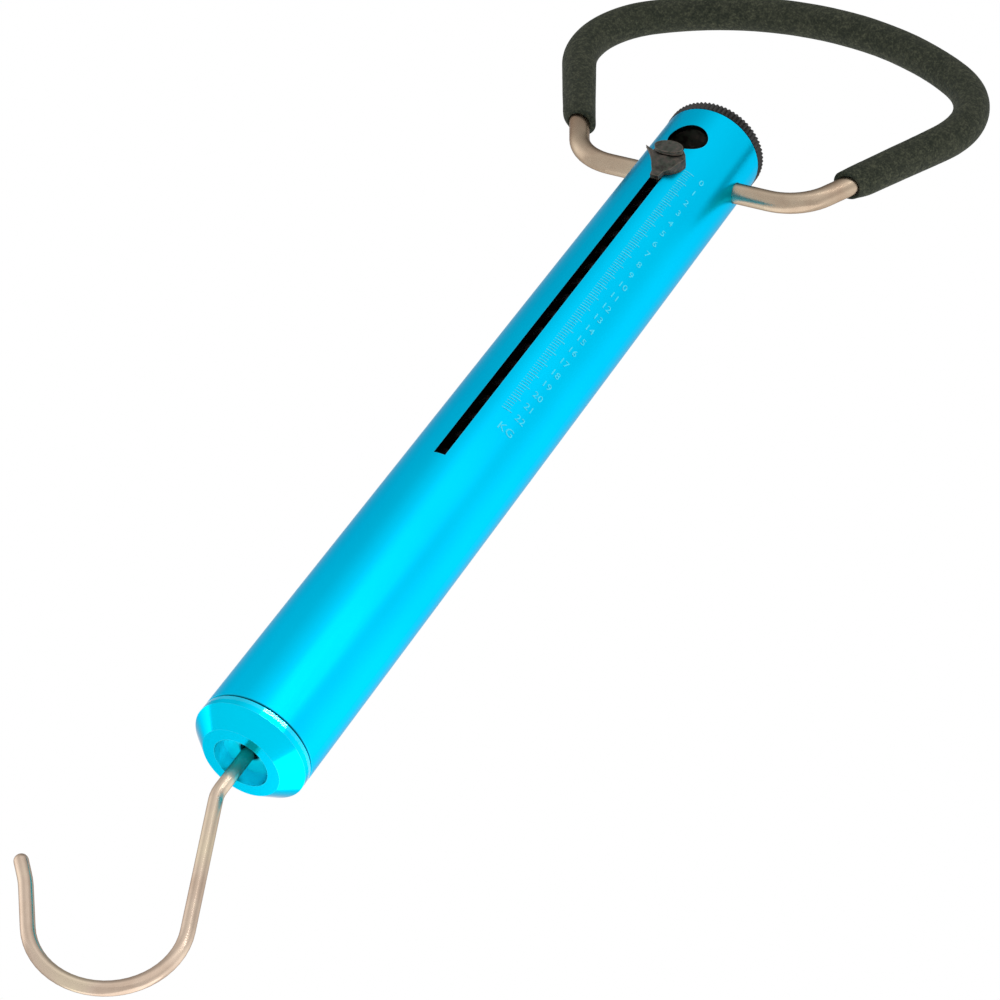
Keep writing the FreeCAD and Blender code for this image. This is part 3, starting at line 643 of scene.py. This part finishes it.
def make_foam():
    """The foam tube: an outer skin with rounded lips, and the bore."""
    path = grip_path()
    count = len(path)
    lengths = [0.0]
    for here, there in zip(path, path[1:]):
        lengths.append(lengths[-1] + math.hypot(there[0] - here[0], there[1] - here[1]))

    # bend along the path, smoothed, so that the foam swells gently at a corner
    bends = [point[3] for point in path]
    for _ in range(BEND_PASSES):
        bends = [(bends[max(i - 1, 0)] + bends[i] + bends[min(i + 1, count - 1)]) / 3 for i in range(count)]
    verts, faces, rings = [], [], []

    def full(index):
        """Foam's radius, thinner on the arms."""
        end = min(lengths[index], lengths[-1] - lengths[index])
        return ARM_R + (GRIP_R - ARM_R) * smooth(end / ARM_RUN)

    def add_ring(index, radius, shift):
        """Ring of points around the path, moved along it by shift."""
        centre_x, centre_v, a, _ = path[index]
        rings.append(len(verts))
        if index < count // 2:
            mouth, end, sign = LEFT_MOUTH, lengths[index], 1.0
        else:
            mouth, end, sign = RIGHT_MOUTH, lengths[-1] - lengths[index], -1.0
        skin = radius > BORE_R * 1.01
        near = max(0.0, 1.0 - end / MOUTH_RUN)
        drawn = (1.0 - smooth(end / MOUTH_RUN)) ** 2 * (radius - BORE_R) / (full(index) - BORE_R)
        for j in range(SIDES):
            t = 2 * math.pi * j / SIDES
            # side is +1 on the outside of the bend and -1 on its inside
            side = math.cos(t)
            along = shift + sign * near * (mouth["back"] + mouth["cut"] * side)
            x = centre_x + along * math.cos(a)
            v = centre_v + along * math.sin(a)
            r = radius
            if skin:
                coarse = Vector((x * COARSE_PER_METRE, v * COARSE_PER_METRE, t * COARSE_AROUND))
                finer = Vector((x * FINER_PER_METRE, v * FINER_PER_METRE, t * FINER_AROUND))
                r *= 1.0 + SWELL * bends[index] * (0.35 - 0.5 * side)
                r += UNEVEN * (noise.noise(coarse) + 0.4 * noise.noise(finer))
                r -= mouth["draw"] * drawn * (0.5 + 0.5 * side)
            verts.append(bail_point(x - r * side * math.sin(a), v + r * side * math.cos(a), r * math.sin(t)))

    for radius, inward in lip(LEFT_MOUTH, full(0)):
        add_ring(0, radius, inward)
    for i in range(1, count - 1):
        add_ring(i, full(i), 0.0)
    for radius, inward in reversed(lip(RIGHT_MOUTH, full(count - 1))):
        add_ring(count - 1, radius, -inward)
    # the bore
    for i in range(count - 2, 0, -1):
        add_ring(i, BORE_R, 0.0)
    for here, there in zip(rings, rings[1:] + rings[:1]):
        for j in range(SIDES):
            n = (j + 1) % SIDES
            faces.append((here + j, there + j, there + n, here + n))
    return new_object("foam_sleeve", verts, faces, MATERIALS["foam"])


foam_sleeve = make_foam()
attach(foam_sleeve, "handle")
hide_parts("foam_grip")


# ---- the spring as a mesh of its own; in the real scale the plunger squashes it ----
def make_spring():
    """The CAD spring's surface as a piece of its own, with its seams closed."""
    node = nodes["compression_spring"]
    verts, faces, known = [], [], {}
    for polygon in node.data.polygons:
        face = []
        for index in polygon.vertices:
            place = node.matrix_world @ node.data.vertices[index].co
            key = tuple(round(c, 7) for c in place)
            if key not in known:
                known[key] = len(verts)
                verts.append(place)
            face.append(known[key])
        if len(set(face)) == len(face):
            faces.append(tuple(face))
    return new_object("coil_spring", verts, faces, MATERIALS["spring_steel"])


coil_spring = make_spring()
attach(coil_spring, "barrel")
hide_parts("compression_spring")
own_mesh(coil_spring)

# ---- floor ----
FLOOR_Z = -1.25
FLOOR_HALF = 3.0


def floor_paper():
    """Matt white paper."""
    mat, tree, bsdf = material("floor_paper")
    bsdf.inputs["Base Color"].default_value = (0.93, 0.93, 0.93, 1.0)
    bsdf.inputs["Roughness"].default_value = 0.9
    return mat


corners = [(-FLOOR_HALF, -FLOOR_HALF, FLOOR_Z), (FLOOR_HALF, -FLOOR_HALF, FLOOR_Z),
           (FLOOR_HALF, FLOOR_HALF, FLOOR_Z), (-FLOOR_HALF, FLOOR_HALF, FLOOR_Z)]
floor = new_object("floor", corners, [(0, 1, 2, 3)], floor_paper(), smooth=False)
floor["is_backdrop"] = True

# ---- studio ----
# direction around the object, 0 in front and 90 on the right, and the wall's brightness there
HIGH_WALLS = [(-180, 2.08), (-150, 1.66), (-120, 1.62), (-95, 1.18), (-45, 1.05), (-20, 1.35), (5, 1.72),
              (30, 1.58), (72, 1.5), (120, 2.0), (165, 2.25), (180, 2.08)]
LOW_WALLS = [(-180, 1.6), (-125, 1.5), (-98, 2.2), (-78, 2.1), (-45, 1.25), (-10, 1.1), (30, 1.6),
             (75, 1.2), (107, 1.9), (150, 1.35), (180, 1.6)]
# the ceiling's brightness, as a share of the high walls'
CEILING = 0.44
# sine of the elevation at which the low walls end, the high walls begin, and the ceiling begins to dim
LOW_END = 0.05
HIGH_START = 0.45


def ring_of_walls(tree, place, walls):
    """Brightness of a ring of walls, where place runs from 0 to 1 around the object."""
    stops = [(degrees / 360.0 + 0.5, (value, value, value)) for degrees, value in walls]
    return ramp(tree, place, stops)


def studio_walls(tree):
    """Brightness of the studio: low walls, high walls above them, and a dimmer ceiling."""
    x, y, z = axes(tree, "Generated")
    turn = math_node(tree, "ARCTAN2", x, math_node(tree, "MULTIPLY", y, -1.0))
    place = math_node(tree, "ADD", math_node(tree, "DIVIDE", turn, 2 * math.pi), 0.5)
    high = span(tree, z, LOW_END, HIGH_START)
    level = mix(tree, high, ring_of_walls(tree, place, LOW_WALLS), ring_of_walls(tree, place, HIGH_WALLS))
    dim = remap(tree, span(tree, z, HIGH_START, 1.0), 1.0, CEILING)
    return math_node(tree, "MULTIPLY", grey(tree, level), dim)


bpy.context.scene.view_settings.view_transform = "Standard"
world = bpy.data.worlds.new("studio")
bpy.context.scene.world = world
world.use_nodes = True
sky = world.node_tree

# the camera sees plain white, and everything else sees the studio's walls
backdrop = sky.nodes["Background"]
backdrop.inputs["Color"].default_value = (1.0, 1.0, 1.0, 1.0)
backdrop.inputs["Strength"].default_value = 1.0
walls = sky.nodes.new("ShaderNodeBackground")
sky.links.new(studio_walls(sky), walls.inputs["Strength"])
light_path = sky.nodes.new("ShaderNodeLightPath")
blend = sky.nodes.new("ShaderNodeMixShader")
sky.links.new(light_path.outputs["Is Camera Ray"], blend.inputs[0])
sky.links.new(walls.outputs[0], blend.inputs[1])
sky.links.new(backdrop.outputs[0], blend.inputs[2])
sky.links.new(blend.outputs[0], sky.nodes["World Output"].inputs["Surface"])


def softbox(name, aim, direction, distance, width, height, watts):
    """Rectangular lamp at a distance from the point it is aimed at."""
    light = bpy.data.lights.new(name, "AREA")
    light.shape = "RECTANGLE"
    light.size = width
    light.size_y = height
    light.energy = watts
    obj = bpy.data.objects.new(name, light)
    bpy.context.scene.collection.objects.link(obj)
    obj.location = aim + Vector(direction).normalized() * distance
    obj.rotation_euler = (aim - obj.location).to_track_quat("-Z", "Y").to_euler()
    return obj


# narrow strips in an arc, whose reflection runs along the front of the cap's rim
STRIP_AZIMUTHS = (12.0, 22.0, 32.0, 42.0, 52.0)
STRIP_TILT = math.radians(33.3)
rim_front = Vector((0.53 * TUBE_R, AXIS_Y - 0.85 * TUBE_R, BAND_Z))
for azimuth in STRIP_AZIMUTHS:
    turn = math.radians(azimuth)
    reach = math.cos(STRIP_TILT)
    direction = (reach * math.sin(turn), -reach * math.cos(turn), math.sin(STRIP_TILT))
    softbox("strip", rim_front, direction, distance=1.3, width=0.23, height=0.006, watts=0.13)

# a low panel behind
low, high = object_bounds()
centre = (Vector(low) + Vector(high)) / 2
low_back = softbox("low_back", centre, (0.35, 0.75, -0.60), distance=1.1, width=2.0, height=1.2, watts=7.0)
low_back.visible_camera = False

# ---- camera at the photograph's viewing angle ----
camera_data = bpy.data.cameras.new("camera")
camera_data.sensor_width = 36.0
camera_data.lens = 106.94
camera_data.dof.use_dof = False
camera_data.clip_start = 0.01
camera = bpy.data.objects.new("camera", camera_data)
bpy.context.scene.collection.objects.link(camera)
camera.location = (0.314878, -0.506535, -0.716390)
camera.rotation_euler = (2.3672398, -0.4833558, 0.0980652)
bpy.context.scene.camera = camera
bpy.context.view_layer.update()
